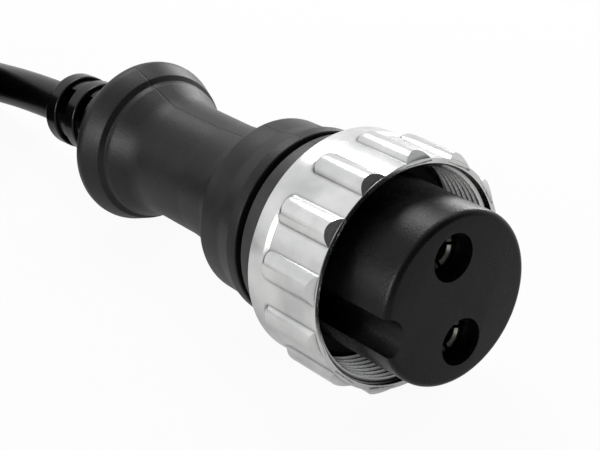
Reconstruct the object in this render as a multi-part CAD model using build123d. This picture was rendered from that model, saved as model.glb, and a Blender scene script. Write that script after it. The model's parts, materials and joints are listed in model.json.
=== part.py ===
from build123d import *
import math
import os

# Two-pin plug connector with a ribbed coupling ring, a rubber grip and a cable.
# Millimetres. Stations run rearwards along the plug's axis from its mating face.
# The plug is built with its axis along X and its nose towards +X, then laid down as it rests.

# Running and assembly clearances
ring_clearance = 0.08
ring_end_play = 0.3
fit_clearance = 0.05
contact_float = 0.05

# Nose insert
nose_radius = 14.5
nose_edge_round = 1.0
nose_length = 21.6
spigot_radius = 13.4
spigot_length = 8.4
key_groove_radius = 3.55
key_groove_offset = 14.65
key_groove_rear_wall = 1.2

# Socket contacts
contact_pitch = 15.25
mouth_radius = 3.95
mouth_depth = 1.95
contact_hole_radius = 3.5
contact_setback = 3.4
contact_side_gap = 0.2
socket_radius = 2.25
socket_depth = 15.6
socket_slot_width = 0.6
socket_slot_length = 11.6
socket_lead_in = 0.4
contact_shoulder = 0.9
contact_body_length = 16.6
terminal_radius = 3.4
terminal_length = 11.0
terminal_bore_radius = 1.3
terminal_bore_depth = 10.0

# Spring clips round the slotted sockets
clip_setback = 3.1
clip_wire_radius = 0.28
clip_groove_depth = 0.5
clip_gap_angle = 40.0

# Terminal screws and the screws of the contact retainer
terminal_screw_radius = 1.4
terminal_screw_setback = 4.0
terminal_screw_stand_out = 0.375
screw_slot_width = 0.5
screw_slot_depth = 0.5
retainer_screw_pitch = 17.6
retainer_screw_radius = 1.25
retainer_screw_head_radius = 2.2
retainer_screw_head_height = 1.3
retainer_screw_length = 8.5

# Contact retainer behind the nose insert
retainer_thickness = 3.0

# Plug shell
shell_lap = 1.0
neck_wall = 1.05
collar_height = 1.0
collar_length = 5.2
collar_edge_round = 0.3
sleeve_bore_radius = 14.15
sleeve_wall = 1.05
sleeve_length = 5.6

# Seals
face_seal_thickness = 1.2
face_seal_width = 2.05
spigot_seal_setback = 4.5
spigot_seal_wire = 0.55
housing_seal_setback = 2.5
housing_seal_wire = 0.6
seal_groove_side_gap = 0.15

# Retaining ring and conical spring washer in front of the coupling ring's flange
snap_ring_thickness = 0.6
snap_ring_sink = 0.65
snap_ring_width = 2.05
snap_ring_gap_angle = 24.0
washer_thickness = 0.3
washer_rise = 0.3

# Coupling ring
ring_front = 10.5
ring_length = 16.4
ring_flange_thickness = 3.1
thread_crest_radius = 17.5
thread_depth = 0.65
thread_pitch = 1.25
thread_turns = 7
thread_setback = 1.1
ring_mouth_opening = 0.92
ring_cavity_depth = 0.15
ring_wall = 1.8
ring_front_chamfer = 0.1
ring_band_length = 3.4
ring_band_height = 0.2
ring_rear_chamfer = 0.35
rib_count = 13
rib_height = 1.2
rib_round = 2.9
rib_length = 12.3
rib_end_round = 1.0

# Rear housing inside the grip
housing_step = 0.3
housing_body_length = 4.0
housing_cone_length = 5.0
housing_length = 45.0
housing_round = 1.0
cavity_clearance = 0.2
throat_radius = 5.8
throat_setback = 3.0
gland_depth = 20.5
gland_wall = 1.7
gland_thread_step = 0.7
gland_thread_depth = 5.0

# Rubber grip
grip_groove_width = 1.35
grip_lip_height = 1.4
grip_lip_length = 2.25
grip_taper_length = 3.6
grip_collar_height = 0.4
grip_collar_cover = 3.2
grip_collar_round = 1.3
grip_tube_wall = 1.85
grip_neck_length = 12.8
grip_tube_length = 10.0
flare_length = 6.2
flare_height = 2.35
shoulder_length = 3.1
crease_height = 0.4
bulb_rise_length = 2.3
bulb_height = 1.95
bulb_length = 3.8
bulb_lip_length = 2.6
bulb_lip_fall = 1.1
grip_mouth_wall = 2.05
grip_floor_setback = 0.5

# Cable entry, from the seal to the strain relief
cable_radius = 4.0
seal_wall = 2.4
seal_length = 8.0
seal_grip = 0.03
thrust_washer_thickness = 1.0
collet_slot_width = 1.0
collet_slot_length = 4.5
collet_taper = 0.6
relief_flange_radius = 8.6
relief_flange_thickness = 1.6
relief_root_radius = 8.0
relief_neck_radius = 7.5
relief_neck_length = 16.4
relief_ring_radius = 7.1
relief_groove_radius = 6.45
relief_slot_width = 3.0
relief_slot_spacing = 6.2
relief_slot_rows = 2
relief_slot_angle = 48.0
relief_slot_count = 4
relief_rear_ring_length = 3.8
relief_edge_round = 0.9
bend_setback = 2.0
bend_radius = 440.0

# Cores inside the plug
core_radius = 1.5
core_spread = 1.9
core_straight_front = 4.0
core_straight_rear = 3.5
core_bend_radius = 3.0
strand_radius = 1.2
sheath_setback = 4.0

# Coil of the spare cable, flat on the surface behind the plug
coil_centre = (-104.0, -45.0)
coil_mean_radius = 40.0
coil_turns_across = 2
coil_layers = 3
coil_entry_angle = 100.0
coil_entry_run = 12.0
coil_corner_flat = 0.5

# Far end of the cable, stripped and fitted with ferrules
end_fall = 0.165
end_sheath_length = 30.0
end_core_length = 28.0
ferrule_collar = 2.5
ferrule_collar_radius = 1.75
ferrule_radius = 1.0
ferrule_length = 8.0

# How the plug lies: one rib on top, contacts and slots turned about the axis
contact_angle = -12.1
key_angle = contact_angle - 90
slot_angle = contact_angle + 47
bend_angle = -157.0

# Stations and radii that follow from the sizes above
spigot_end = nose_length + spigot_length
retainer_rear = spigot_end + retainer_thickness
contact_flange_front = contact_setback + contact_body_length
terminal_end = spigot_end + terminal_length
contact_radius = contact_hole_radius - contact_side_gap
contact_flange_radius = contact_radius + contact_shoulder
clip_station = contact_setback + clip_setback
terminal_screw_station = terminal_end - terminal_screw_setback
terminal_screw_top = contact_pitch / 2 + terminal_radius + terminal_screw_stand_out
ring_rear = ring_front + ring_length
ring_flange_front = ring_rear - ring_flange_thickness
thread_start = ring_front + thread_setback
ring_mouth_radius = thread_crest_radius + ring_mouth_opening
ring_cavity_radius = thread_crest_radius + thread_depth + ring_cavity_depth
ring_valley_radius = thread_crest_radius + ring_wall
ring_rim_radius = ring_valley_radius - ring_front_chamfer
ring_band_radius = ring_valley_radius + ring_band_height
rib_crest_radius = ring_valley_radius + rib_height
rib_rear = ring_front + rib_length
shell_front = nose_length - shell_lap
neck_radius = nose_radius + fit_clearance + neck_wall
collar_front = ring_rear + ring_end_play
collar_radius = neck_radius + collar_height
collar_rear = collar_front + collar_length
sleeve_radius = sleeve_bore_radius + sleeve_wall
shell_end = collar_rear + sleeve_length
retainer_radius = sleeve_bore_radius - fit_clearance
key_groove_end = nose_length - key_groove_rear_wall
snap_ring_front = ring_flange_front - ring_end_play - washer_rise - washer_thickness - snap_ring_thickness
snap_ring_inner = neck_radius - snap_ring_sink
snap_ring_radius = snap_ring_inner + snap_ring_width
housing_spigot_radius = sleeve_bore_radius - fit_clearance
housing_radius = sleeve_radius - housing_step
housing_body_end = shell_end + housing_body_length
housing_cone_end = housing_body_end + housing_cone_length
housing_end = retainer_rear + housing_length
retainer_screw_reach = retainer_screw_pitch / 2 + retainer_screw_head_radius
housing_cavity_radius = max(terminal_screw_top, retainer_screw_reach) + cavity_clearance
throat_station = housing_cone_end + throat_setback
gland_radius = cable_radius + seal_wall
gland_front = housing_end - gland_depth
gland_thread_radius = gland_radius + gland_thread_step
gland_thread_front = housing_end - gland_thread_depth
housing_tube_radius = gland_thread_radius + gland_wall
grip_front = collar_rear + grip_groove_width
grip_lip_radius = sleeve_radius + grip_lip_height
grip_collar_radius = sleeve_radius + grip_collar_height
grip_collar_rear = housing_body_end + grip_collar_cover
grip_tube_radius = housing_tube_radius + grip_tube_wall
grip_tube_front = grip_collar_rear + grip_neck_length
grip_tube_rear = grip_tube_front + grip_tube_length
shoulder_station = grip_tube_rear + flare_length
shoulder_radius = grip_tube_radius + flare_height
crease_station = shoulder_station + shoulder_length
crease_radius = shoulder_radius + crease_height
bulb_front = crease_station + bulb_rise_length
bulb_rear = bulb_front + bulb_length
bulb_radius = crease_radius + bulb_height
grip_end = bulb_rear + bulb_lip_length
grip_mouth_radius = bulb_radius - grip_mouth_wall
collet_front = gland_front + seal_length + thrust_washer_thickness
relief_front = gland_thread_front + 2 * fit_clearance
bend_start = housing_end + bend_setback
relief_first_slot = housing_end + relief_neck_length
relief_slot_fronts = [relief_first_slot + relief_slot_spacing * row for row in range(relief_slot_rows)]
relief_end = relief_slot_fronts[-1] + relief_slot_width + relief_rear_ring_length
sheath_front = throat_station + sheath_setback


# Alignments: standing on its plane, hanging from it, or reaching ahead of it
standing = (Align.CENTER, Align.CENTER, Align.MIN)
hanging = (Align.CENTER, Align.CENTER, Align.MAX)
ahead = (Align.MIN, Align.CENTER, Align.CENTER)


def turned(*stations):
    """Revolve a closed outline of (station, radius) or (station, radius, corner round)."""
    corners = [(-s[0], s[1]) for s in stations]
    rounds = [s[2] if len(s) > 2 else 0 for s in stations]
    outline = FilletPolyline(*corners, radius=rounds, close=True)
    return revolve(make_face(outline), Axis.X)


def at_angle(shape, angle):
    """Turn about the axis, from upright towards +Y."""
    return Rot(-angle, 0, 0) * shape


def rod(front, rear, radius, offset=0.0, angle=0.0):
    """A round bar along the axis, at an offset from it in the direction of an angle."""
    bar = Cylinder(radius, rear - front, align=standing)
    return at_angle(Pos(-rear, 0, offset) * Rot(0, 90, 0) * bar, angle)


def sector(front, rear, reach, width, angle):
    """A wedge about the axis, as wide as an angle, for slots and gaps."""
    half = math.radians(width / 2)
    side = reach / math.cos(half)
    corners = [(0, 0), (reach, -side * math.sin(half)), (reach, side * math.sin(half))]
    wedge = extrude(make_face(Polyline(*corners, close=True)), rear - front)
    return at_angle(Pos(-rear, 0, 0) * Rot(0, 90, 0) * Rot(0, 0, 180) * wedge, angle)


def seal_ring(station, wire, radius):
    """A round-section ring whose wire is centred at a radius."""
    return revolve(Pos(-station, radius) * Circle(wire), Axis.X)


def seal_groove(station, wire, bottom, top):
    """The groove of a round-section seal, for cutting."""
    half = wire + seal_groove_side_gap
    front, rear = station - half, station + half
    return turned((front, bottom), (front, top), (rear, top), (rear, bottom))


def both_contacts(shape):
    """A copy of a shape made about the axis on each contact's own centre line."""
    moved = Pos(0, 0, contact_pitch / 2) * shape
    return [at_angle(moved, contact_angle), at_angle(moved, contact_angle + 180)]


def nose_insert():
    body = turned(
        (0, 0),
        (0, nose_radius, nose_edge_round),
        (nose_length, nose_radius),
        (nose_length, spigot_radius),
        (spigot_end, spigot_radius),
        (spigot_end, 0),
    )
    hole = rod(0, mouth_depth, mouth_radius)
    hole += rod(0, contact_flange_front, contact_hole_radius)
    hole += rod(contact_flange_front, spigot_end, contact_flange_radius + contact_float)
    for place in both_contacts(hole):
        body -= place
    body -= rod(0, key_groove_end, key_groove_radius, key_groove_offset, key_angle)
    groove_bottom = spigot_radius - 2 * spigot_seal_wire
    seal_station = spigot_end - spigot_seal_setback
    body -= seal_groove(seal_station, spigot_seal_wire, groove_bottom, spigot_radius + 1)
    screw_tip = retainer_rear - retainer_screw_length
    for angle in (key_angle, key_angle + 180):
        body -= rod(screw_tip, spigot_end, retainer_screw_radius, retainer_screw_pitch / 2, angle)
    return body


def socket_contact():
    """One contact about its own centre line: slotted socket in front, screw terminal behind."""
    body = turned(
        (contact_setback, 0),
        (contact_setback, contact_radius, 0.3),
        (contact_flange_front, contact_radius),
        (contact_flange_front, contact_flange_radius),
        (spigot_end, contact_flange_radius),
        (spigot_end, terminal_radius),
        (terminal_end, terminal_radius, 0.4),
        (terminal_end, 0),
    )
    socket_bottom = contact_setback + socket_depth
    body -= turned(
        (contact_setback, 0),
        (contact_setback, socket_radius + socket_lead_in),
        (contact_setback + socket_lead_in, socket_radius),
        (socket_bottom, socket_radius),
        (socket_bottom + socket_radius / 2, 0),
    )
    slot = Box(socket_slot_length, socket_slot_width, 3 * contact_radius)
    slot = Pos(-contact_setback - socket_slot_length / 2, 0, 0) * slot
    body -= slot
    body -= at_angle(slot, 90)
    clip_bottom = contact_radius - clip_groove_depth
    body -= seal_groove(clip_station, clip_wire_radius, clip_bottom, contact_radius + 1)
    body -= rod(terminal_end - terminal_bore_depth, terminal_end, terminal_bore_radius)
    screw_hole = Cylinder(terminal_screw_radius, 2 * terminal_radius, align=standing)
    body -= Pos(-terminal_screw_station, 0, 0) * screw_hole
    return body


def spring_clip():
    """A split wire ring in the groove of one socket."""
    wire_centre = contact_radius - clip_groove_depth + clip_wire_radius + 0.01
    ring = seal_ring(clip_station, clip_wire_radius, wire_centre)
    front, rear = clip_station - 1, clip_station + 1
    return ring - sector(front, rear, 2 * contact_radius, clip_gap_angle, 45)


def terminal_screw():
    """A slotted grub screw that presses on the strands, about its contact's centre line."""
    bottom = strand_radius + 0.02
    height = terminal_screw_top - contact_pitch / 2 - bottom
    screw = Cylinder(terminal_screw_radius - 0.02, height, align=standing)
    slot = Box(2 * terminal_screw_radius, screw_slot_width, screw_slot_depth, align=hanging)
    screw -= Pos(0, 0, height) * slot
    return Pos(-terminal_screw_station, 0, bottom) * screw


def contact_retainer():
    front, rear = spigot_end, retainer_rear
    body = turned((front, 0), (front, retainer_radius), (rear, retainer_radius, 0.3), (rear, 0))
    for hole in both_contacts(rod(front, rear, terminal_radius + contact_float)):
        body -= hole
    for angle in (key_angle, key_angle + 180):
        body -= rod(front, rear, retainer_screw_radius + 0.1, retainer_screw_pitch / 2, angle)
    return body


def retainer_screw(angle):
    head_front = retainer_rear
    head_rear = head_front + retainer_screw_head_height
    screw = turned(
        (head_front - retainer_screw_length, 0),
        (head_front - retainer_screw_length, retainer_screw_radius - 0.02),
        (head_front, retainer_screw_radius - 0.02),
        (head_front, retainer_screw_head_radius),
        (head_rear, retainer_screw_head_radius, 0.4),
        (head_rear, 0),
    )
    slot = Box(screw_slot_depth, 3 * retainer_screw_head_radius, screw_slot_width, align=ahead)
    screw -= Pos(-head_rear, 0, 0) * slot
    return at_angle(Pos(0, 0, retainer_screw_pitch / 2) * screw, angle)


def plug_shell():
    """The hard shell: neck for the coupling ring, black collar, groove and rear sleeve."""
    body = turned(
        (shell_front, nose_radius + fit_clearance),
        (shell_front, neck_radius),
        (collar_front, neck_radius),
        (collar_front, collar_radius, collar_edge_round),
        (collar_rear, collar_radius, collar_edge_round),
        (collar_rear, sleeve_radius),
        (shell_end, sleeve_radius),
        (shell_end, sleeve_bore_radius),
        (spigot_end, sleeve_bore_radius),
        (spigot_end, spigot_radius + fit_clearance),
        (nose_length, spigot_radius + fit_clearance),
        (nose_length, nose_radius + fit_clearance),
    )
    groove_rear = snap_ring_front + snap_ring_thickness + 0.02
    groove_bottom = snap_ring_inner - fit_clearance
    return body - turned(
        (snap_ring_front, groove_bottom),
        (snap_ring_front, neck_radius + 1),
        (groove_rear, neck_radius + 1),
        (groove_rear, groove_bottom),
    )


def snap_ring():
    front, rear, inner = snap_ring_front, snap_ring_front + snap_ring_thickness, snap_ring_inner
    ring = turned((front, inner), (front, snap_ring_radius), (rear, snap_ring_radius), (rear, inner))
    return ring - sector(front - 1, rear + 1, 2 * snap_ring_radius, snap_ring_gap_angle, 150)


def spring_washer():
    """A shallow cone, its rim on the retaining ring and its bore towards the ring's flange."""
    front = snap_ring_front + snap_ring_thickness + 0.02
    inner, outer = neck_radius + 2 * fit_clearance, snap_ring_radius - 0.1
    return turned(
        (front + washer_rise, inner),
        (front, outer),
        (front + washer_thickness, outer),
        (front + washer_rise + washer_thickness, inner),
    )


def face_seal():
    """A flat ring round the foot of the nose, on the shell's front face."""
    front = shell_front - face_seal_thickness
    inner = nose_radius + fit_clearance
    outer = inner + face_seal_width
    return turned((front, inner), (front, outer, 0.3), (shell_front, outer), (shell_front, inner))


def coupling_ring():
    """Die-cast ring: threaded mouth, half-round ribs cut by the front cone, inner flange."""
    bore = neck_radius + ring_clearance
    outline = [
        (ring_front, ring_mouth_radius),
        (ring_front, ring_rim_radius),
        (ring_front + ring_front_chamfer, ring_valley_radius),
        (ring_rear - ring_band_length - 1.0, ring_valley_radius, 1.0),
        (ring_rear - ring_band_length, ring_band_radius, 1.0),
        (ring_rear - ring_rear_chamfer, ring_band_radius),
        (ring_rear, ring_band_radius - ring_rear_chamfer),
        (ring_rear, bore),
        (ring_flange_front, bore),
        (ring_flange_front, ring_cavity_radius),
    ]
    thread_end = thread_start + thread_turns * thread_pitch
    outline.append((thread_end, ring_cavity_radius))
    for turn in reversed(range(thread_turns)):
        start = thread_start + turn * thread_pitch
        outline.append((start + 0.9 * thread_pitch, thread_crest_radius))
        outline.append((start + 0.5 * thread_pitch, thread_crest_radius + thread_depth))
        outline.append((start + 0.1 * thread_pitch, thread_crest_radius))
    cone_rear = ring_front + rib_crest_radius - ring_rim_radius
    foot = ring_valley_radius - 0.4
    envelope = turned(
        (ring_front, foot),
        (ring_front, ring_rim_radius),
        (cone_rear, rib_crest_radius),
        (rib_rear, rib_crest_radius, rib_end_round),
        (rib_rear, foot),
    )
    bar = rod(ring_front, rib_rear, rib_round, rib_crest_radius - rib_round) & envelope
    ribs = [at_angle(bar, 360 / rib_count * k) for k in range(rib_count)]
    return turned(*outline) + ribs


def rear_housing():
    """Hard core of the grip, from the shell to the cable gland."""
    body = turned(
        (retainer_rear, housing_cavity_radius),
        (retainer_rear, housing_spigot_radius),
        (shell_end, housing_spigot_radius),
        (shell_end, housing_radius),
        (housing_body_end, housing_radius, housing_round),
        (housing_cone_end, housing_tube_radius, housing_round),
        (housing_end, housing_tube_radius),
        (housing_end, gland_thread_radius),
        (gland_thread_front, gland_thread_radius),
        (gland_thread_front, gland_radius),
        (gland_front, gland_radius),
        (gland_front, throat_radius),
        (throat_station, throat_radius),
        (housing_body_end, housing_cavity_radius),
    )
    groove_bottom = housing_spigot_radius - 2 * housing_seal_wire
    seal_station = shell_end - housing_seal_setback
    return body - seal_groove(seal_station, housing_seal_wire, groove_bottom, housing_spigot_radius + 1)


def rubber_grip():
    """One moulding: collar, tube and hollow bulb."""
    gap = fit_clearance
    return turned(
        (grip_front, sleeve_radius + gap),
        (grip_front, grip_lip_radius, 0.3),
        (grip_front + grip_lip_length, grip_lip_radius, 0.6),
        (grip_front + grip_lip_length + grip_taper_length, grip_collar_radius + 0.1, 6.0),
        (grip_collar_rear, grip_collar_radius, grip_collar_round),
        (grip_collar_rear + 0.06 * grip_neck_length, grip_tube_radius + 2.2, 1.0),
        (grip_collar_rear + 0.4 * grip_neck_length, grip_tube_radius + 0.6, 6.0),
        (grip_tube_front, grip_tube_radius, 16.0),
        (grip_tube_rear, grip_tube_radius + 0.001, 14.0),
        (grip_tube_rear + 0.58 * flare_length, grip_tube_radius + 0.32 * flare_height, 6.0),
        (shoulder_station, shoulder_radius, 0.7),
        (crease_station, crease_radius, 0.4),
        (bulb_front, bulb_radius - 0.15, 3.5),
        (bulb_rear, bulb_radius, 5.0),
        (grip_end, bulb_radius - bulb_lip_fall, 0.9),
        (grip_end - 0.1, grip_mouth_radius, 0.4),
        (housing_end + grip_floor_setback + 1.0, relief_flange_radius + 1.8, 1.0),
        (housing_end + grip_floor_setback, housing_tube_radius + gap),
        (housing_cone_end, housing_tube_radius + gap, housing_round),
        (housing_body_end, housing_radius + gap, housing_round),
        (shell_end, housing_radius + gap),
        (shell_end, sleeve_radius + gap),
    )


def cable_seal():
    front, rear = gland_front, gland_front + seal_length
    inner, outer = cable_radius + seal_grip, gland_radius - fit_clearance
    return turned((front, inner), (front, outer, 0.4), (rear, outer, 0.4), (rear, inner))


def thrust_washer():
    front = gland_front + seal_length
    rear = front + thrust_washer_thickness
    inner, outer = cable_radius + 0.1, gland_radius - 0.1
    return turned((front, inner), (front, outer), (rear, outer), (rear, inner))


def clamp_collet():
    """A slotted sleeve that the strain relief squeezes on the cable."""
    front = collet_front
    inner, outer = cable_radius + fit_clearance, gland_radius - fit_clearance
    body = turned(
        (front, inner),
        (front, outer - collet_taper),
        (front + 2 * collet_taper, outer),
        (relief_front, outer),
        (relief_front, inner),
    )
    slot = Box(collet_slot_length, collet_slot_width, 3 * gland_radius)
    slot = Pos(-(front + collet_slot_length / 2), 0, 0) * slot
    return body - slot - at_angle(slot, 90)


def bent(shape, station):
    """Carry a piece made straight about the axis to its place on the sagging entry."""
    sag = math.degrees((station - bend_start) / bend_radius)
    centre = Pos(-bend_start, 0, -bend_radius)
    return centre * Rot(0, -sag, 0) * Pos(station - bend_start, 0, bend_radius) * Pos(bend_start, 0, 0) * shape


def bend_point(station):
    """Centre of the sagging entry at a station, before it is turned to its own side."""
    sag = (station - bend_start) / bend_radius
    return Vector(-bend_start - bend_radius * math.sin(sag), 0, bend_radius * (math.cos(sag) - 1))


def bent_bar(front, rear, radius):
    """A round bar along the sagging entry."""
    path = ThreePointArc(bend_point(front), bend_point((front + rear) / 2), bend_point(rear))
    section = Plane(path @ 0, z_dir=path % 0) * Circle(radius)
    return sweep(section, path)


def strain_relief():
    """Threaded spigot and flange, tapered neck, then rings joined by webs between slots."""
    slot_ends = [front + relief_slot_width for front in relief_slot_fronts]
    neck = turned(
        (relief_front, 0),
        (relief_front, gland_thread_radius - fit_clearance, 0.4),
        (housing_end, gland_thread_radius - fit_clearance),
        (housing_end, relief_flange_radius, 0.2),
        (housing_end + relief_flange_thickness, relief_flange_radius, 0.4),
        (housing_end + relief_flange_thickness + 0.4, relief_root_radius),
        (relief_first_slot - 3.0, relief_root_radius - 0.2, 1.5),
        (relief_first_slot, relief_neck_radius, 0.5),
        (relief_first_slot, 0),
    )
    body = neck + bent_bar(bend_start, relief_end - 0.5, relief_groove_radius)
    ring_rears = relief_slot_fronts[1:] + [relief_end]
    ring_rounds = [0.4] * (relief_slot_rows - 1) + [relief_edge_round]
    for front, rear, rear_round in zip(slot_ends, ring_rears, ring_rounds):
        ring = turned(
            (front, 0),
            (front, relief_ring_radius, 0.4),
            (rear, relief_ring_radius, rear_round),
            (rear, 0),
        )
        body += bent(ring, (front + rear) / 2)
    for front in relief_slot_fronts:
        for k in range(relief_slot_count):
            angle = slot_angle - (bend_angle - 180) + 360 / relief_slot_count * k
            slot = sector(front, front + relief_slot_width, 2 * relief_ring_radius, relief_slot_angle, angle)
            body -= bent(slot, front + relief_slot_width / 2)
    bore = cable_radius + fit_clearance
    body -= rod(relief_front - 1, bend_start + 0.01, bore)
    body -= bent_bar(bend_start, relief_end + 1, bore)
    return at_angle(body, bend_angle - 180)


def cable_entry():
    """The sheathed cable inside the plug, from the stripped end to the relief's rear face."""
    body = rod(sheath_front, bend_start, cable_radius) + bent_bar(bend_start, relief_end, cable_radius)
    return at_angle(body, bend_angle - 180)


def core():
    """One insulated core inside the plug, from its terminal to the stripped sheath."""
    bend_in = terminal_end + core_straight_front
    bend_out = sheath_front - core_straight_rear
    path = FilletPolyline(
        (-terminal_end, 0, contact_pitch / 2),
        (-bend_in, 0, contact_pitch / 2),
        (-bend_out, 0, core_spread),
        (-sheath_front, 0, core_spread),
        radius=core_bend_radius,
    )
    return sweep(Plane(path @ 0, z_dir=path % 0) * Circle(core_radius), path)


def strands():
    front = terminal_end - terminal_bore_depth + 0.2
    return rod(front, terminal_end, strand_radius)


def cable_route(leave, heading):
    """Corners of the free cable's path, down to the surface and into the coil."""
    around = Rot(0, 0, coil_entry_angle)
    start_of_coil = (Pos(*coil_centre, cable_radius) * around * Pos(coil_outer_turn(), 0, 0)).position
    tangent = (around * Pos(0, 1, 0)).position
    return [
        leave,
        leave + heading * 16.0,
        Vector(-86.0, -0.8, 7.0),
        start_of_coil - tangent * coil_entry_run,
        start_of_coil,
    ]


def coil_outer_turn():
    """Radius of the outermost turn's centre line."""
    return coil_mean_radius + (coil_turns_across - 1) * cable_radius


def free_cable(route):
    """The tube between the relief and the coil, each corner rounded as far as its runs allow."""
    radii = []
    for before, corner, after in zip(route, route[1:], route[2:]):
        half_turn = math.radians((corner - before).get_angle(after - corner)) / 2
        shorter_run = min((corner - before).length, (after - corner).length)
        radii.append(0.45 * shorter_run / math.tan(half_turn))
    path = FilletPolyline(*route, radius=radii)
    print("cable arcs, radius in mm:", [round(radius, 1) for radius in radii])
    tube = sweep(Plane(path @ 0, z_dir=path % 0) * Circle(cable_radius), path)
    section = math.pi * cable_radius**2
    ratio = tube.volume / section / path.length
    print("free cable length %.1f, volume over section x length %.5f" % (path.length, ratio))
    return tube


def end_plane():
    """Where the cable leaves an outer turn of the second layer, looking along its free end."""
    leave = Vector(coil_centre[0], coil_centre[1] - coil_outer_turn(), 3 * cable_radius)
    return Plane(leave, x_dir=(0, 1, 0), z_dir=(1, 0, -end_fall))


def along_end(start, length, radius, aside=0.0):
    """A round bar along the free end of the cable."""
    bar = Cylinder(radius, length, align=standing)
    return end_plane().location * Pos(aside, 0, start) * bar


def cable_coil():
    """The outer shape of the wound cable."""
    width = 2 * coil_turns_across * cable_radius
    height = 2 * coil_layers * cable_radius
    section = RectangleRounded(width, height, cable_radius - coil_corner_flat)
    section = Pos(coil_mean_radius, height / 2) * section
    return Pos(*coil_centre) * revolve(Plane.XZ * section, Axis.Z)


def ferrule(aside):
    """A crimped ferrule with its collar on one stripped core."""
    start = end_sheath_length + end_core_length
    sleeve = along_end(start + ferrule_collar, ferrule_length - ferrule_collar, ferrule_radius, aside)
    return along_end(start, ferrule_collar, ferrule_collar_radius, aside) + sleeve


plug = {
    "nose_insert": nose_insert(),
    "contact_retainer": contact_retainer(),
    "plug_shell": plug_shell(),
    "face_seal": face_seal(),
    "spigot_seal": seal_ring(
        spigot_end - spigot_seal_setback, spigot_seal_wire, spigot_radius - spigot_seal_wire
    ),
    "housing_seal": seal_ring(
        shell_end - housing_seal_setback, housing_seal_wire, housing_spigot_radius - housing_seal_wire
    ),
    "snap_ring": snap_ring(),
    "spring_washer": spring_washer(),
    "coupling_ring": coupling_ring(),
    "rear_housing": rear_housing(),
    "rubber_grip": rubber_grip(),
    "cable_seal": cable_seal(),
    "thrust_washer": thrust_washer(),
    "clamp_collet": clamp_collet(),
    "strain_relief": strain_relief(),
    "cable_entry": cable_entry(),
    "retainer_screw_left": retainer_screw(key_angle),
    "retainer_screw_right": retainer_screw(key_angle + 180),
}
contact_pieces = {
    "socket_contact": socket_contact(),
    "spring_clip": spring_clip(),
    "terminal_screw": terminal_screw(),
    "strands": strands(),
}
for name, piece in contact_pieces.items():
    upper, lower = both_contacts(piece)
    plug[name + "_upper"] = upper
    plug[name + "_lower"] = lower
plug["core_upper"] = at_angle(core(), contact_angle)
plug["core_lower"] = at_angle(core(), contact_angle + 180)

# The plug rests on the rear ends of two ribs and on the bulb
half_pitch = math.radians(180 / rib_count)
rib_reach = (rib_crest_radius - rib_round) * math.cos(half_pitch) + rib_round
rest_length = bulb_rear - (rib_rear - rib_end_round)
tilt = math.degrees(math.atan2(rib_reach - bulb_radius, rest_length))
laid = Rot(0, -tilt, 0)
box = Compound(children=[laid * piece for piece in plug.values()]).bounding_box()
laid = Pos(-(box.min.X + box.max.X) / 2, 0, -box.min.Z) * laid
print("tilt %.4f, face centre at" % tilt, laid.position)

sag = math.degrees((relief_end - bend_start) / bend_radius)
leave = laid * at_angle(Pos(*bend_point(relief_end)) * Rot(0, -sag, 0), bend_angle - 180)
exit_point = leave.position
exit_heading = (leave * Pos(-1, 0, 0)).position - exit_point
print("cable leaves at", exit_point, "heading", exit_heading)

cord = {
    "cable": free_cable(cable_route(exit_point, exit_heading)),
    "cable_coil": cable_coil(),
    "cable_end": along_end(0, end_sheath_length, cable_radius),
    "end_core_left": along_end(end_sheath_length, end_core_length, core_radius, -core_spread),
    "end_core_right": along_end(end_sheath_length, end_core_length, core_radius, core_spread),
    "ferrule_left": ferrule(-core_spread),
    "ferrule_right": ferrule(core_spread),
}

os.makedirs("parts", exist_ok=True)
for name, piece in plug.items():
    export_step(laid * piece, f"parts/{name}.step")
for name, piece in cord.items():
    export_step(piece, f"parts/{name}.step")
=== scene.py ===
import bmesh
import bpy
import json
import math
from mathutils import Matrix, Vector


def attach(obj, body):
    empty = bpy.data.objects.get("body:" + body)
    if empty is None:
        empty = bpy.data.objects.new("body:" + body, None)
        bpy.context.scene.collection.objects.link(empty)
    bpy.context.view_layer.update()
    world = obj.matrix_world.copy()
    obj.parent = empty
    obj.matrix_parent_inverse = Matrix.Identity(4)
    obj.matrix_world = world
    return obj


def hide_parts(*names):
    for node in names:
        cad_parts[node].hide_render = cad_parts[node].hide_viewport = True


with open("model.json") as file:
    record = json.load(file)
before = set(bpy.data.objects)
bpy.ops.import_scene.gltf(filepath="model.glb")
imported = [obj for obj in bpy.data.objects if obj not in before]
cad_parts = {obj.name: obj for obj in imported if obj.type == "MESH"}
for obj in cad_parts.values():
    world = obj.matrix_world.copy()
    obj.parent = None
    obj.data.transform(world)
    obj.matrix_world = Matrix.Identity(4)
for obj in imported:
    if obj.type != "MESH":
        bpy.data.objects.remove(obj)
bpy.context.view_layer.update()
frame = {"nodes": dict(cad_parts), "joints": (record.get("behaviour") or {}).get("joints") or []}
scene = bpy.context.scene
mm = 0.001
mergeDistance = 1e-6  # metres: points that lie closer are one
print("frame loaded,", len(frame["nodes"]), "nodes")


# The plug lies tilted: its axis and the centre of its mating face come from the ring's joint
ringJoint = frame["joints"][0]
plugAxis = Vector(ringJoint["axis"])
jointStation = 25.35  # mm behind the mating face
faceCentre = Vector(ringJoint["pos_m"]) + plugAxis * jointStation * mm
tilt = math.atan2(plugAxis.z, plugAxis.x)
laid = Matrix.Translation(faceCentre) @ Matrix.Rotation(-tilt, 4, "Y")


# Camera, fitted to the photo's circles; places in mm
camera = {
    "location": (202.62, -165.24, 139.89),
    "aim": (34.52, -16.42, 29.91),
    "roll": 5.95,
    "lens": 99.59,
    "sensor": 36,
}


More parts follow.
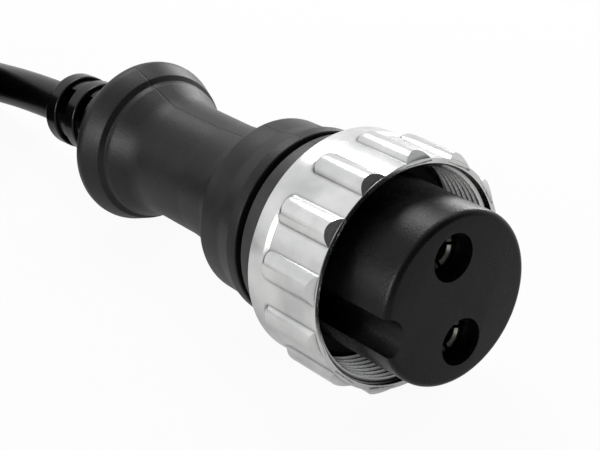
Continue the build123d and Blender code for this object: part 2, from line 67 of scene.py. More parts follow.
def setCamera():
    data = bpy.data.cameras.new("camera")
    data.lens = camera["lens"]
    data.sensor_width = camera["sensor"]
    data.clip_start = 0.01
    data.clip_end = 20
    cam = bpy.data.objects.new("camera", data)
    scene.collection.objects.link(cam)
    place = Vector(camera["location"]) * mm
    look = Vector(camera["aim"]) * mm - place
    turn = look.to_track_quat("-Z", "Y").to_matrix().to_4x4()
    roll = Matrix.Rotation(math.radians(camera["roll"]), 4, "Z")
    cam.matrix_world = Matrix.Translation(place) @ turn @ roll
    scene.camera = cam


setCamera()
print("camera set")


# The cable: route in mm as the solids have it, then the coil's turns by a loop
cable = {
    "radius": 4.0,
    "route": [
        (-53.611, -0.333, 12.753), (-69.466, -0.722, 10.640), (-86.0, -0.8, 7.0), (-99.82, 0.42, 4.0),
    ],
    "coilCentre": (-104.0, -45.0),
    "outerTurn": 44.0,
    "entryAngle": 100.0,
    "turns": 5 + 170 / 360,
    "pointsPerTurn": 16,
    "change": 0.2,  # part of a turn in which it moves to the next lane or layer
    "lanesInwards": ((1, 1), (4, -1)),  # at which turn, by how many cable widths
    "layersUp": ((2, 1), (3, 1), (5, -1)),
    "end": ((12.0, 12.0), (22.0, 8.6), (29.6, 7.116)),  # distance past the coil and height
}


def easeInOut(t):
    t = min(max(t, 0.0), 1.0)
    return t * t * (3 - 2 * t)


def coilPoint(turn):
    def moved(changes):
        return sum(step * easeInOut((turn - after) / cable["change"] + 1) for after, step in changes)

    pitch = 2 * cable["radius"]
    reach = cable["outerTurn"] - pitch * moved(cable["lanesInwards"])
    reach /= math.cos(math.pi / cable["pointsPerTurn"])
    angle = math.radians(cable["entryAngle"] + 360 * turn)
    x = cable["coilCentre"][0] + reach * math.cos(angle)
    y = cable["coilCentre"][1] + reach * math.sin(angle)
    return (x, y, cable["radius"] + pitch * moved(cable["layersUp"]))


def cablePoints():
    points = list(cable["route"])
    count = round(cable["turns"] * cable["pointsPerTurn"])
    points += [coilPoint(cable["turns"] * i / count) for i in range(count + 1)]
    x, y = cable["coilCentre"][0], cable["coilCentre"][1] - cable["outerTurn"]
    points += [(x + along, y, height) for along, height in cable["end"]]
    return points


def makeCable():
    points = cablePoints()
    curve = bpy.data.curves.new("cableLead", "CURVE")
    curve.dimensions = "3D"
    spline = curve.splines.new("NURBS")
    spline.points.add(len(points) - 1)
    for point, place in zip(spline.points, points):
        point.co = (*(value * mm for value in place), 1)
        point.radius = cable["radius"] * mm
    spline.order_u = 3
    spline.use_endpoint_u = True
    spline.resolution_u = 6
    curve.bevel_depth = 1.0  # the points' own radius sets the thickness
    curve.bevel_resolution = 8
    curve.use_fill_caps = True
    piece = bpy.data.objects.new("cableLead", curve)
    scene.collection.objects.link(piece)
    return piece


cableLead = makeCable()
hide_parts("cable", "cable_coil", "cable_end")
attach(cableLead, "plug")
print("cable laid,", len(cableLead.data.splines[0].points), "points")


# Modelling helpers. Points, edges and faces sorted by place come in the same order in each run
def sortByPlace(bm):
    def placeOf(item):
        corners = getattr(item, "verts", [item])
        return tuple(round(sum(vert.co[i] for vert in corners), 8) for i in range(3))

    for items in (bm.verts, bm.edges, bm.faces):
        for rank, item in enumerate(sorted(items, key=placeOf)):
            item.index = rank
        items.sort()
        items.index_update()


# Makes the piece; edges from sharpAngle up are shaded as sharp ones
def finishMesh(name, bm, body, sharpAngle):
    bmesh.ops.remove_doubles(bm, verts=bm.verts[:], dist=mergeDistance)
    bmesh.ops.recalc_face_normals(bm, faces=bm.faces[:])
    sortByPlace(bm)
    for face in bm.faces:
        face.smooth = True
    for edge in bm.edges:
        edge.smooth = edge.calc_face_angle(0) < math.radians(sharpAngle)
    mesh = bpy.data.meshes.new(name)
    bm.to_mesh(mesh)
    bm.free()
    piece = bpy.data.objects.new(name, mesh)
    scene.collection.objects.link(piece)
    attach(piece, body)
    return piece


# The given points with their edges and faces, as the operators take them
def linked(bm, verts):
    for items in (bm.verts, bm.edges, bm.faces):
        items.index_update()
    edges = {edge for vert in verts for edge in vert.link_edges}
    faces = {face for vert in verts for face in vert.link_faces}
    groups = (verts, edges, faces)
    return [item for group in groups for item in sorted(group, key=lambda item: item.index)]


# An outline of (distance behind the mating face, radius, rounding) in mm, spun about the X axis
def turnOutline(bm, outline, steps, roundSegments=5):
    corners = [bm.verts.new((-corner[0] * mm, corner[1] * mm, 0)) for corner in outline]
    for here, after in zip(corners, corners[1:] + corners[:1]):
        bm.edges.new((here, after))
    bm.verts.ensure_lookup_table()
    made = set(corners)
    for i, corner in enumerate(outline):
        if len(corner) < 3:
            continue
        toBefore = Vector(outline[i - 1][:2]) - Vector(corner[:2])
        toAfter = Vector(outline[(i + 1) % len(outline)][:2]) - Vector(corner[:2])
        turn = math.pi - toBefore.angle(toAfter)
        made.discard(corners[i])
        rounded = bmesh.ops.bevel(
            bm, geom=[corners[i]], offset=corner[2] * math.tan(turn / 2) * mm, offset_type="OFFSET",
            affect="VERTICES", segments=roundSegments, profile=0.5, material=-1, clamp_overlap=True,
        )
        made.update(rounded["verts"])
    bmesh.ops.spin(
        bm, geom=linked(bm, made), cent=(0, 0, 0), axis=(1, 0, 0), angle=2 * math.pi,
        steps=steps, use_merge=True,
    )
    bmesh.ops.remove_doubles(bm, verts=bm.verts[:], dist=mergeDistance)


# A piece turned about the X axis, then laid down with the plug
def turnedPiece(name, settings, body, extra=None):
    bm = bmesh.new()
    turnOutline(bm, settings["outline"], settings["steps"])
    if extra:
        extra(bm)
    bmesh.ops.transform(bm, matrix=laid, verts=bm.verts[:])
    return finishMesh(name, bm, body, settings["sharpAngle"])


# Materials
def linear(hexColour):
    values = [int(hexColour[i:i + 2], 16) / 255 for i in (1, 3, 5)]
    return (*(v / 12.92 if v <= 0.04045 else ((v + 0.055) / 1.055) ** 2.4 for v in values), 1)


def addNode(tree, kind, settings=None, links=None):
    node = tree.nodes.new(kind)
    for key, value in (settings or {}).items():
        if isinstance(key, str) and hasattr(node, key):
            setattr(node, key, value)
        else:
            node.inputs[key].default_value = value
    for socket, source in (links or {}).items():
        tree.links.new(source, node.inputs[socket])
    return node


def startMaterial(name, viewColour):
    material = bpy.data.materials.new(name)
    material.use_nodes = True
    material.diffuse_color = linear(viewColour)
    tree = material.node_tree
    tree.nodes.clear()
    place = addNode(tree, "ShaderNodeTexCoord").outputs["Object"]
    # the pattern's own X runs along the plug's axis, from the mating face
    along = addNode(tree, "ShaderNodeMapping", {
        "vector_type": "TEXTURE", "Location": faceCentre, "Rotation": (0, -tilt, 0),
    }, {"Vector": place})
    return material, tree, along.outputs["Vector"]


def perMm(size):
    return 1 / (size * mm)


# How the noises become tones and gloss
pattern = {
    "grainShare": 0.45,
    "cloudShare": 0.55,
    "shift": -0.02,
    "mouldedTones": (0.36, 0.66),  # noise values that give the dark and the light tone
    "metalTones": (0.3, 0.7),
    "glossFrom": (0.3, 0.7),  # noise values that give the two ends of the roughness
}


# The two halves of the mould leave a fine line on both sides, in a plane through the plug's axis
def addPartingLine(tree, place, line, colour, normal):
    turned = addNode(tree, "ShaderNodeMapping", {
        "vector_type": "POINT", "Rotation": (math.radians(line["angle"]), 0, 0),
    }, {"Vector": place})
    parts = addNode(tree, "ShaderNodeSeparateXYZ", {}, {"Vector": turned.outputs["Vector"]})
    away = addNode(tree, "ShaderNodeMath", {"operation": "ABSOLUTE"}, {0: parts.outputs["Y"]})
    half = line["width"] / 2 * mm
    flat = addNode(tree, "ShaderNodeMapRange", {
        "interpolation_type": "SMOOTHSTEP", "From Min": line["core"] * half, "From Max": half,
    }, {"Value": away.outputs[0]}).outputs["Result"]
    bump = addNode(tree, "ShaderNodeBump", {"Strength": 1.0, "Distance": line["depth"] * mm},
                   {"Height": flat, "Normal": normal})
    dark = addNode(tree, "ShaderNodeMix", {"data_type": "RGBA", "A": linear(line["colour"])},
                   {"Factor": flat})
    tree.links.new(colour, dark.inputs["B"])
    return dark.outputs["Result"], bump.outputs["Normal"]


# Moulded plastics and rubbers: eroded mould texture as fine grain, slow change of tone, soft gloss
def mouldedMaterial(name, look):
    material, tree, place = startMaterial(name, look["colour"])
    grain = addNode(tree, "ShaderNodeTexNoise", {
        "Scale": perMm(look["grain"]), "Detail": 3.0, "Roughness": 0.6,
    }, {"Vector": place}).outputs["Fac"]
    cloud = addNode(tree, "ShaderNodeTexNoise", {
        "Scale": perMm(look["cloud"]), "Detail": 4.0, "Roughness": 0.55,
    }, {"Vector": place}).outputs["Fac"]
    blend = addNode(tree, "ShaderNodeMath", {
        "operation": "MULTIPLY_ADD", 1: pattern["cloudShare"], 2: pattern["shift"],
    }, {0: cloud}).outputs[0]
    both = addNode(tree, "ShaderNodeMath", {
        "operation": "MULTIPLY_ADD", 1: pattern["grainShare"],
    }, {0: grain, 2: blend}).outputs[0]
    tone = addNode(tree, "ShaderNodeValToRGB", {}, {"Fac": both})
    for stop, at, key in zip(tone.color_ramp.elements, pattern["mouldedTones"], ("dark", "light")):
        stop.position = at
        stop.color = linear(look[key])
    gloss = addNode(tree, "ShaderNodeMapRange", {
        "From Min": pattern["glossFrom"][0], "From Max": pattern["glossFrom"][1],
        "To Min": look["rough"][0], "To Max": look["rough"][1],
    }, {"Value": both})
    bump = addNode(tree, "ShaderNodeBump", {"Strength": look["bump"], "Distance": look["depth"] * mm},
                   {"Height": grain})
    colour, normal = tone.outputs["Color"], bump.outputs["Normal"]
    if look.get("partingLine"):
        colour, normal = addPartingLine(tree, place, look["partingLine"], colour, normal)
    shader = addNode(tree, "ShaderNodeBsdfPrincipled", {
        "IOR": look["ior"], "Specular IOR Level": look["shine"],
    }, {"Base Color": colour, "Roughness": gloss.outputs["Result"], "Normal": normal})
    addNode(tree, "ShaderNodeOutputMaterial", {}, {"Surface": shader.outputs["BSDF"]})
    return material


# Metals: fine lathe or casting marks round the plug's axis over slow stains, with painted shade in the
# corners
def metalMaterial(name, look):
    material, tree, place = startMaterial(name, look["colour"])
    stretched = addNode(tree, "ShaderNodeMapping", {"vector_type": "POINT", "Scale": look["stretch"]},
                        {"Vector": place})
    marks = addNode(tree, "ShaderNodeTexNoise", {"Scale": perMm(look["marks"]), "Detail": 3.0},
                    {"Vector": stretched.outputs["Vector"]}).outputs["Fac"]
    cloud = addNode(tree, "ShaderNodeTexNoise", {"Scale": perMm(look["cloud"]), "Detail": 4.0},
                    {"Vector": place}).outputs["Fac"]
    tone = addNode(tree, "ShaderNodeValToRGB", {}, {"Fac": cloud})
    for stop, at, key in zip(tone.color_ramp.elements, pattern["metalTones"], ("dark", "light")):
        stop.position = at
        stop.color = linear(look[key])
    # painted shade: ambient occlusion within the given width darkens corners, creases and hollows towards
    # the shade colour
    exposed = addNode(tree, "ShaderNodeAmbientOcclusion", {
        "samples": 8, "only_local": True, "Distance": look["paintedShadeWidth"] * mm,
    })
    paintedShadeMask = addNode(tree, "ShaderNodeMapRange", {
        "From Min": look["corner"][0], "From Max": look["corner"][1],
    }, {"Value": exposed.outputs["AO"]})
    colour = addNode(tree, "ShaderNodeMix", {"data_type": "RGBA", "A": linear(look["paintedShadeColour"])},
                     {"Factor": paintedShadeMask.outputs["Result"]})
    tree.links.new(tone.outputs["Color"], colour.inputs["B"])
    gloss = addNode(tree, "ShaderNodeMapRange", {
        "From Min": pattern["glossFrom"][0], "From Max": pattern["glossFrom"][1],
        "To Min": look["rough"][0], "To Max": look["rough"][1],
    }, {"Value": marks})
    bump = addNode(tree, "ShaderNodeBump", {"Strength": look["bump"], "Distance": look["depth"] * mm},
                   {"Height": marks})
    shader = addNode(tree, "ShaderNodeBsdfPrincipled", {"Metallic": 1.0},
                     {"Base Color": colour.outputs["Result"], "Roughness": gloss.outputs["Result"],
                      "Normal": bump.outputs["Normal"]})
    addNode(tree, "ShaderNodeOutputMaterial", {}, {"Surface": shader.outputs["BSDF"]})
    return material


# Grain, cloud, marks, depth and widths are in mm. Rough is a range of roughness, and corner is the range
# of openness over which the painted shade in a metal's corners fades to its own tone
partingLine = {"angle": -12.1, "width": 0.5, "core": 0.4, "depth": 0.06, "colour": "#0b0b0c"}
plastics = {
    # glass-filled nylon, moulded: near black, satin, a fine grain that catches the light
    "satinNylon": {"colour": "#121213", "dark": "#09090a", "light": "#161617", "grain": 0.28, "cloud": 6.0,
                   "rough": (0.2, 0.32), "bump": 1.0, "depth": 0.05, "ior": 1.5, "shine": 0.15},
    # glass-filled nylon of the shell, more coarsely eroded
    "grainyNylon": {"colour": "#19191a", "dark": "#121213", "light": "#2a2a2b", "grain": 0.35, "cloud": 5.0,
                    "rough": (0.38, 0.5), "bump": 0.9, "depth": 0.04, "ior": 1.5, "shine": 0.35,
                    "partingLine": partingLine},
    # thermoplastic rubber, spark-eroded mould: dull black with a visible grain
    "grainyRubber": {"colour": "#1a1a1b", "dark": "#101011", "light": "#202021", "grain": 0.4, "cloud": 7.0,
                     "rough": (0.36, 0.48), "bump": 0.9, "depth": 0.04, "ior": 1.5, "shine": 0.2,
                     "partingLine": partingLine},
    # polyamide of the strain relief, polished mould: deep gloss black
    "glossyNylon": {"colour": "#08080a", "dark": "#050506", "light": "#0a0a0b", "grain": 0.8, "cloud": 9.0,
                    "rough": (0.14, 0.22), "bump": 0.25, "depth": 0.02, "ior": 1.53, "shine": 0.22},
    # soft PVC sheath, extruded: black, half gloss
    "sheathPvc": {"colour": "#0b0b0c", "dark": "#070708", "light": "#0d0d0e", "grain": 0.5, "cloud": 12.0,
                  "rough": (0.22, 0.32), "bump": 0.3, "depth": 0.03, "ior": 1.53, "shine": 0.18},
    # nitrile rubber seals: matte black
    "sealRubber": {"colour": "#131314", "dark": "#101011", "light": "#19191a", "grain": 0.5, "cloud": 4.0,
                   "rough": (0.6, 0.75), "bump": 0.4, "depth": 0.03, "ior": 1.52, "shine": 0.3},
    # PVC of the two cores, extruded: plain glossy red and black
    "redPvc": {"colour": "#b3201c", "dark": "#a01b18", "light": "#c02822", "grain": 0.5, "cloud": 5.0,
               "rough": (0.3, 0.4), "bump": 0.2, "depth": 0.02, "ior": 1.53, "shine": 0.5},
    "blackPvc": {"colour": "#151516", "dark": "#111112", "light": "#1c1c1d", "grain": 0.5, "cloud": 5.0,
                 "rough": (0.3, 0.4), "bump": 0.2, "depth": 0.02, "ior": 1.53, "shine": 0.5},
}
metals = {
    # zinc die casting with satin nickel plating: bright, soft mirror, faint pits, painted shade in the
    # corners
    "satinNickel": {"colour": "#d2d3d2", "dark": "#bcbdbd", "light": "#dcdddc", "marks": 0.35, "cloud": 8.0,
                    "stretch": (1.6, 1.0, 1.0), "rough": (0.14, 0.26), "bump": 0.6, "depth": 0.02,
                    "paintedShadeWidth": 0.7, "corner": (0.7, 0.98), "paintedShadeColour": "#161617"},
    # silver-plated brass contacts: warm white metal, lightly turned, painted shade inside
    "silverPlate": {"colour": "#a9a7a0", "dark": "#8d8a82", "light": "#b9b7b0", "marks": 0.2, "cloud": 2.0,
                    "stretch": (3.0, 1.0, 1.0), "rough": (0.25, 0.4), "bump": 0.3, "depth": 0.015,
                    "paintedShadeWidth": 1.0, "corner": (0.3, 0.9), "paintedShadeColour": "#2c2b28"},
    # spring steel and zinc-plated screws: grey, half bright
    "springSteel": {"colour": "#9fa1a3", "dark": "#87898b", "light": "#aeb0b2", "marks": 0.25, "cloud": 3.0,
                    "stretch": (3.0, 1.0, 1.0), "rough": (0.28, 0.4), "bump": 0.3, "depth": 0.015,
                    "paintedShadeWidth": 0.5, "corner": (0.3, 0.9), "paintedShadeColour": "#3a3b3c"},
    # bare copper strands: warm, half bright, drawn lengthwise
    "bareCopper": {"colour": "#b87a52", "dark": "#a2643f", "light": "#c98b62", "marks": 0.3, "cloud": 3.0,
                   "stretch": (0.5, 2.0, 2.0), "rough": (0.25, 0.4), "bump": 0.5, "depth": 0.03,
                   "paintedShadeWidth": 0.5, "corner": (0.3, 0.9), "paintedShadeColour": "#4a2f1d"},
    # tin plating of the ferrules: pale grey, dull
    "tinPlate": {"colour": "#c3c5c6", "dark": "#adafb0", "light": "#d0d2d3", "marks": 0.3, "cloud": 3.0,
                 "stretch": (1.0, 1.0, 1.0), "rough": (0.3, 0.45), "bump": 0.3, "depth": 0.015,
                 "paintedShadeWidth": 0.5, "corner": (0.3, 0.9), "paintedShadeColour": "#5a5b5c"},
}
materials = {name: mouldedMaterial(name, look) for name, look in plastics.items()}
materials.update({name: metalMaterial(name, look) for name, look in metals.items()})
print("materials made,", len(materials))


def dress(piece, materialName):
    slots = piece.material_slots
    if len(slots) == 0:
        piece.data.materials.append(materials[materialName])
    for slotHere in slots:
        slotHere.material = materials[materialName]


cadFinishes = {
    "grainyNylon": ["contact_retainer", "rear_housing", "thrust_washer", "clamp_collet"],
    "glossyNylon": ["strain_relief"],
    "sealRubber": ["face_seal", "spigot_seal", "housing_seal", "cable_seal"],
    "sheathPvc": ["cable_entry"],
    "redPvc": ["core_upper", "end_core_left"],
    "blackPvc": ["core_lower", "end_core_right"],
    "silverPlate": ["socket_contact_upper", "socket_contact_lower"],
    "springSteel": ["snap_ring", "spring_washer", "spring_clip_upper", "spring_clip_lower",
                    "retainer_screw_left", "retainer_screw_right", "terminal_screw_upper",
                    "terminal_screw_lower"],
    "bareCopper": ["strands_upper", "strands_lower"],
    "tinPlate": ["ferrule_left", "ferrule_right"],
}
for finish, nodeNames in cadFinishes.items():
    for nodeName in nodeNames:
        dress(frame["nodes"][nodeName], finish)
dress(cableLead, "sheathPvc")


# Boolean cuts run as modifiers on a scratch object, and the result is taken back into a bmesh
def cutAway(bm, cutter):
    objects = []
    for name, source in (("body", bm), ("cutter", cutter)):
        sortByPlace(source)
        mesh = bpy.data.meshes.new(name)
        source.to_mesh(mesh)
        source.free()
        objects.append(bpy.data.objects.new(name, mesh))
        scene.collection.objects.link(objects[-1])
    boolean = objects[0].modifiers.new("cut", "BOOLEAN")
    boolean.operation = "DIFFERENCE"
    boolean.solver = "EXACT"
    boolean.use_self = True
    boolean.object = objects[1]
    depsgraph = bpy.context.evaluated_depsgraph_get()
    result = bmesh.new()
    result.from_mesh(objects[0].evaluated_get(depsgraph).to_mesh())
    for scratch in objects:
        mesh = scratch.data
        bpy.data.objects.remove(scratch)
        bpy.data.meshes.remove(mesh)
    bmesh.ops.remove_doubles(result, verts=result.verts[:], dist=2 * mergeDistance)
    sortByPlace(result)
    return result


# A round bar on the axis, from its front station to its rear one
def addBar(bm, front, rear, radius, steps, rearRound=0.0):
    made = bmesh.ops.create_cone(
        bm, cap_ends=True, cap_tris=False, segments=steps, radius1=radius * mm, radius2=radius * mm,
        depth=(rear - front) * mm,
    )["verts"]
    lay = Matrix.Translation((-(front + rear) / 2 * mm, 0, 0)) @ Matrix.Rotation(math.pi / 2, 4, "Y")
    bmesh.ops.transform(bm, matrix=lay, verts=made)
    if rearRound:
        end = -rear * mm + 10 * mergeDistance
        rim = [edge for edge in bm.edges if all(vert.co.x < end for vert in edge.verts)]
        bmesh.ops.bevel(bm, geom=rim, offset=rearRound * mm, offset_type="OFFSET", affect="EDGES",
                        segments=5, profile=0.5, material=-1)


# Takes a part made about the axis, moves it outwards, turns it to its angle and adds it
def addPlaced(bm, part, angle, offset=0.0):
    place = Matrix.Rotation(math.radians(-angle), 4, "X") @ Matrix.Translation((0, 0, offset * mm))
    bmesh.ops.transform(part, matrix=place, verts=part.verts[:])
    bmesh.ops.recalc_face_normals(part, faces=part.faces[:])
    scratch = bpy.data.meshes.new("part")
    part.to_mesh(scratch)
    part.free()
    bm.from_mesh(scratch)
    bpy.data.meshes.remove(scratch)


# Nose insert: two stepped contact holes and the key groove, every edge softened
nose = {
    "outline": [(0, 0), (0, 14.5, 1.1), (21.6, 14.5), (21.6, 13.4), (30, 13.4), (30, 0)],
    "steps": 192,
    "rimSegments": 6,
    "holeSteps": 96,
    "contactAngle": -12.1,
    "contactPitch": 15.25,
    "hole": [
        (-1, 0), (-1, 3.95), (1.95, 3.95), (1.95, 3.5), (20, 3.5), (20, 4.25), (30.5, 4.25), (30.5, 0),
    ],
    "keyAngle": -102.1,
    "keyRadius": 3.55,
    "keyOffset": 14.65,
    "keySpan": (-1, 20.4),
    "flatAngle": 0.05,
    "sharpAngle": 30,
    "edgeAngle": 35,
    "edgeRound": 0.14,
    "edgeSpan": 21,  # edges that reach in front of this station are softened
}


def softenNoseEdges(bm):
    flat = math.radians(nose["flatAngle"])
    bmesh.ops.dissolve_limit(bm, angle_limit=flat, verts=bm.verts[:], edges=bm.edges[:])
    last = -nose["edgeSpan"] * mm
    sharp = [
        edge for edge in bm.edges
        if edge.is_manifold and edge.calc_face_angle() > math.radians(nose["edgeAngle"])
        and max(vert.co.x for vert in edge.verts) > last
    ]
    bmesh.ops.bevel(bm, geom=sharp, offset=nose["edgeRound"] * mm, offset_type="OFFSET", affect="EDGES",
                    segments=2, profile=0.5, material=-1, clamp_overlap=True)


def makeNose():
    bm = bmesh.new()
    turnOutline(bm, nose["outline"], nose["steps"], nose["rimSegments"])
    bmesh.ops.recalc_face_normals(bm, faces=bm.faces[:])
    cutter = bmesh.new()
    for side in (0, 180):
        hole = bmesh.new()
        turnOutline(hole, nose["hole"], nose["holeSteps"])
        addPlaced(cutter, hole, nose["contactAngle"] + side, nose["contactPitch"] / 2)
    groove = bmesh.new()
    addBar(groove, *nose["keySpan"], nose["keyRadius"], nose["holeSteps"])
    addPlaced(cutter, groove, nose["keyAngle"], nose["keyOffset"])
    bm = cutAway(bm, cutter)
    softenNoseEdges(bm)
    bmesh.ops.transform(bm, matrix=laid, verts=bm.verts[:])
    return finishMesh("noseMoulding", bm, "plug", nose["sharpAngle"])


noseMoulding = makeNose()
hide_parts("nose_insert")
dress(noseMoulding, "satinNylon")
print("nose made,", len(noseMoulding.data.polygons), "faces")


# Coupling ring: turned body, half-round ribs trimmed by the front cone, thread in the mouth
ring = {
    "outline": [
        (10.5, 18.42, 0.12), (10.5, 19.2), (10.6, 19.3), (22.5, 19.3, 1.0), (23.5, 19.5, 1.0),
        (26.55, 19.5, 0.3), (26.9, 19.15, 0.3), (26.9, 15.68, 0.15), (23.8, 15.68, 0.15), (23.8, 18.3, 0.3),
        (20.35, 18.3), (20.35, 18.13), (11.4, 18.13),
    ],
    "steps": 208,
    "sharpAngle": 38,
    "ribCount": 13,
    "ribRadius": 2.9,
    "ribOffset": 17.6,
    "ribSpan": (10.5, 22.8),
    "ribEndRound": 1.0,
    "ribSteps": 64,
    "ribDepth": 0.6,  # how deep a rib reaches into the wall
    "coneFoot": 19.2,
    "threadRoot": 18.2,
    "threadCrest": 17.5,
    "threadPitch": 1.25,
    "threadRise": (0.05, 0.44),  # flanks, as parts of a pitch
    "threadFall": (0.56, 0.95),
    "threadSteps": 120,
    "threadSpan": (11.5, 20.4),
}


def addRib(bm, angle):
    rib = bmesh.new()
    addBar(rib, *ring["ribSpan"], ring["ribRadius"], ring["ribSteps"], ring["ribEndRound"])
    bmesh.ops.translate(rib, verts=rib.verts[:], vec=(0, 0, ring["ribOffset"] * mm))
    foot = ring["coneFoot"] * mm
    for height in (foot - ring["ribDepth"] * mm, foot):
        geometry = rib.verts[:] + rib.edges[:] + rib.faces[:]
        cut = bmesh.ops.bisect_plane(rib, geom=geometry, plane_co=(0, 0, height), plane_no=(0, 0, 1),
                                     clear_inner=height < foot)
        if height < foot:
            opened = [item for item in cut["geom_cut"] if isinstance(item, bmesh.types.BMEdge)]
            bmesh.ops.holes_fill(rib, edges=opened, sides=0)
    front = -ring["ribSpan"][0] * mm
    for vert in rib.verts:
        reach = math.hypot(vert.co.y, vert.co.z)
        if vert.co.x > front - mergeDistance and reach > foot:
            vert.co.x = front - (reach - foot)
    addPlaced(bm, rib, angle)


def addThread(bm):
    pitch, root, crest = (ring[key] * mm for key in ("threadPitch", "threadRoot", "threadCrest"))
    first, last = (station * mm for station in ring["threadSpan"])
    turns = math.ceil((last - first) / pitch) + 1
    start = -first + pitch
    profile = zip(ring["threadRise"] + ring["threadFall"], (root, crest, crest, root))
    corners = [bm.verts.new((start - part * pitch, 0, reach)) for part, reach in profile]
    edges = [bm.edges.new(pair) for pair in zip(corners, corners[1:] + corners[:1])]
    before = set(bm.verts) - set(corners)
    bmesh.ops.spin(
        bm, geom=corners + edges, cent=(0, 0, 0), axis=(1, 0, 0), dvec=(-pitch / ring["threadSteps"], 0, 0),
        angle=2 * math.pi * turns, steps=ring["threadSteps"] * turns, use_merge=False,
    )
    thread = [vert for vert in bm.verts if vert not in before]
    for plane, direction in ((-first, 1), (-last, -1)):
        cut = bmesh.ops.bisect_plane(bm, geom=linked(bm, thread), plane_co=(plane, 0, 0),
                                     plane_no=(direction, 0, 0), clear_outer=True)
        opened = [item for item in cut["geom_cut"] if isinstance(item, bmesh.types.BMEdge)]
        bmesh.ops.holes_fill(bm, edges=opened, sides=0)
        thread = [vert for vert in bm.verts if vert not in before]


def addRingParts(bm):
    for k in range(ring["ribCount"]):
        addRib(bm, 360 / ring["ribCount"] * k)
    addThread(bm)


couplingRing = turnedPiece("couplingRing", ring, "ring", addRingParts)
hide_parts("coupling_ring")
dress(couplingRing, "satinNickel")
print("coupling ring made,", len(couplingRing.data.polygons), "faces")


# Plug shell: neck under the ring, collar and sleeve
shell = {
    "outline": [
        (20.6, 14.55, 0.1), (20.6, 15.6, 0.2), (21.98, 15.6), (21.98, 14.95), (22.62, 14.95),
        (22.62, 15.6), (27.2, 15.6, 0.15), (27.2, 16.6, 0.35), (32.4, 16.6, 0.35), (32.4, 15.2, 0.2),
        (38.0, 15.2, 0.1), (38.0, 14.15), (30.0, 14.15), (30.0, 13.45), (21.6, 13.45), (21.6, 14.55),
    ],
    "steps": 192,
    "sharpAngle": 38,
}
plugShell = turnedPiece("plugShell", shell, "plug")
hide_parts("plug_shell")
dress(plugShell, "grainyNylon")
print("shell made,", len(plugShell.data.polygons), "faces")


# Rubber grip: collar, tube and hollow bulb in one moulding
grip = {
    "outline": [
        (33.75, 15.25), (33.75, 16.6, 0.3), (36.0, 16.6, 0.6), (39.6, 15.7, 6.0), (45.2, 15.6, 1.3),
        (45.97, 12.85, 1.0), (50.32, 11.25, 6.0), (58.0, 10.65, 16.0), (71.8, 10.66, 9.0),
        (76.6, 12.75, 2.0), (77.7, 12.85, 0.2), (78.4, 13.75, 0.5), (83.0, 15.5, 2.5), (84.9, 13.9, 0.8),
        (84.8, 13.2, 0.4), (79.5, 10.4, 1.0), (78.5, 8.85), (47.0, 8.85, 1.0), (42.0, 14.95, 1.0),
        (38.0, 14.95), (38.0, 15.25),
    ],
    "steps": 192,
    "sharpAngle": 38,
}
rubberGrip = turnedPiece("rubberGrip", grip, "plug")
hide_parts("rubber_grip")
dress(rubberGrip, "grainyRubber")
print("grip made,", len(rubberGrip.data.polygons), "faces")


# Floor, lamps and world: a white tent, dim in front of the mating face
studio = {
    "floorSize": 6.0,
    "floorColour": "#e6e6e4",
    "floorGlow": 0.94,  # how much of the white the camera sees of the floor, beside its own shading
    "floorMirror": 0.4,  # the same for what the metal and gloss reflect
    "worldLight": 0.55,  # the tent's light on matt surfaces; reflections show it at 1.0
    "dimTowards": (0.93, -0.10, 0.34),
    "dimFrom": 0.25,  # cosines to that direction between which the tent darkens
    "dimTo": 0.8,
    "dimLight": 0.08,
    "lamps": {
        "topLamp": {"place": (-0.1, 0.25, 0.75), "aim": (0, 0, 0), "size": 0.5, "watts": 1.0},
        "backLamp": {"place": (-0.5, 0.12, 0.62), "aim": (0.03, 0, 0.02), "size": 0.32, "watts": 2.2},
        "sideLamp": {"place": (-0.12, -0.7, 0.16), "aim": (0.03, 0, 0.02), "size": 0.35, "watts": 3.0},
        "rimLamp": {"place": (-0.35, 0.7, 0.3), "aim": (0, 0, 0.02), "size": 0.4, "watts": 3.0},
    },
}


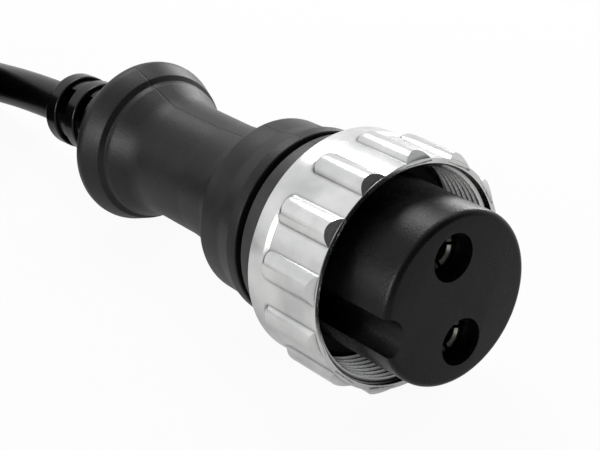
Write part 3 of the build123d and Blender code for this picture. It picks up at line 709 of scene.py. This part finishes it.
def makeFloor():
    bm = bmesh.new()
    bmesh.ops.create_grid(bm, x_segments=1, y_segments=1, size=studio["floorSize"] / 2)
    mesh = bpy.data.meshes.new("floor")
    bm.to_mesh(mesh)
    bm.free()
    floor = bpy.data.objects.new("floor", mesh)
    scene.collection.objects.link(floor)
    material = bpy.data.materials.new("paperWhite")
    material.use_nodes = True
    tree = material.node_tree
    tree.nodes.clear()
    rays = addNode(tree, "ShaderNodeLightPath")
    mirrored = addNode(tree, "ShaderNodeMath", {"operation": "MULTIPLY", 1: studio["floorMirror"]},
                       {0: rays.outputs["Is Glossy Ray"]})
    seen = addNode(tree, "ShaderNodeMath", {"operation": "MULTIPLY_ADD", 1: studio["floorGlow"]},
                   {0: rays.outputs["Is Camera Ray"], 2: mirrored.outputs[0]})
    paper = addNode(tree, "ShaderNodeBsdfDiffuse", {"Color": linear(studio["floorColour"])})
    glow = addNode(tree, "ShaderNodeEmission", {"Color": (1, 1, 1, 1), "Strength": 1.0})
    mixed = addNode(tree, "ShaderNodeMixShader", {},
                    {0: seen.outputs[0], 1: paper.outputs[0], 2: glow.outputs[0]})
    addNode(tree, "ShaderNodeOutputMaterial", {}, {"Surface": mixed.outputs[0]})
    floor.data.materials.append(material)
    return floor


def makeLamp(name, lamp):
    data = bpy.data.lights.new(name, "AREA")
    data.shape = "DISK"
    data.size = lamp["size"]
    data.energy = lamp["watts"]
    piece = bpy.data.objects.new(name, data)
    scene.collection.objects.link(piece)
    look = Vector(lamp["aim"]) - Vector(lamp["place"])
    turn = look.to_track_quat("-Z", "Y").to_matrix().to_4x4()
    piece.matrix_world = Matrix.Translation(lamp["place"]) @ turn


def makeWorld():
    world = bpy.data.worlds.new("studio")
    world.use_nodes = True
    tree = world.node_tree
    tree.nodes.clear()
    rays = addNode(tree, "ShaderNodeLightPath")
    strength = addNode(tree, "ShaderNodeMapRange", {"To Min": studio["worldLight"], "To Max": 1.0},
                       {"Value": rays.outputs["Is Glossy Ray"]})
    direction = addNode(tree, "ShaderNodeTexCoord").outputs["Generated"]
    towards = addNode(tree, "ShaderNodeVectorMath", {
        "operation": "DOT_PRODUCT", 1: Vector(studio["dimTowards"]).normalized(),
    }, {0: direction})
    dimmed = addNode(tree, "ShaderNodeMapRange", {
        "interpolation_type": "SMOOTHSTEP", "From Min": studio["dimFrom"], "From Max": studio["dimTo"],
        "To Min": 1.0, "To Max": studio["dimLight"],
    }, {"Value": towards.outputs["Value"]})
    tent = addNode(tree, "ShaderNodeMath", {"operation": "MULTIPLY"},
                   {0: strength.outputs["Result"], 1: dimmed.outputs["Result"]})
    seen = addNode(tree, "ShaderNodeMath", {"operation": "MAXIMUM"},
                   {0: tent.outputs[0], 1: rays.outputs["Is Camera Ray"]})
    light = addNode(tree, "ShaderNodeBackground", {"Color": (1, 1, 1, 1)}, {"Strength": seen.outputs[0]})
    addNode(tree, "ShaderNodeOutputWorld", {}, {"Surface": light.outputs[0]})
    scene.world = world


makeFloor()
for name, lamp in studio["lamps"].items():
    makeLamp(name, lamp)
makeWorld()
scene.view_settings.view_transform = "Standard"
print("studio set")
